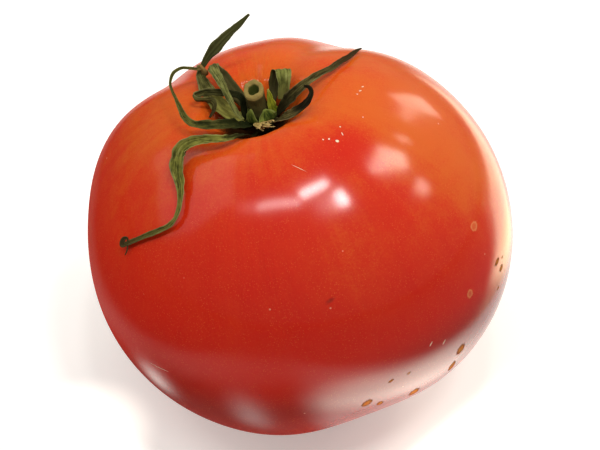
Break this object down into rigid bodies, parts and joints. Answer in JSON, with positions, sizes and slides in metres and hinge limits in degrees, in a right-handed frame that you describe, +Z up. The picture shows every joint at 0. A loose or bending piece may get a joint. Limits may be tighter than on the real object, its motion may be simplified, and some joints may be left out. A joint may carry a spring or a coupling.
{
  "type": "tomato",
  "caption": "Ripe round tomato with shallow shoulder ribs, a hollow stem stub and dry curled sepals, resting on a small flat spot.",
  "frame": {"origin": "middle of the small flat spot that the fruit rests on", "axes": "+Z up from the surface it rests on, -Y to the front, and the stem axis leans 12.8 degrees from +Z towards -X"},
  "size_m": [0.0906, 0.089, 0.0903],
  "materials": {
    "skin": "smooth waxy skin, orange on the shoulders and deep red below",
    "stem": "dry tan stalk, green at its foot",
    "dry_sepal": "dry olive green leaf, veined and matt",
    "dark_sepal": "withered leaf, brown black and matt",
    "fresh_sepal": "yellow green leaf, satin",
    "torn_sepal": "torn tan fibres, matt"
  },
  "bodies": {
    "root": {"fruit": "skin", "stem": "stem", "sepal_front_trailing": "dry_sepal", "sepal_left_loop": "dry_sepal", "sepal_back_blade": "dry_sepal", "sepal_folded": "dry_sepal", "sepal_side_curl": "dry_sepal", "sepal_back_hoop": "dry_sepal", "sepal_right_trailing": "dark_sepal", "sepal_right_curl": "dark_sepal", "sepal_inner": "fresh_sepal", "sepal_torn": "torn_sepal"}
  },
  "joints": []
}
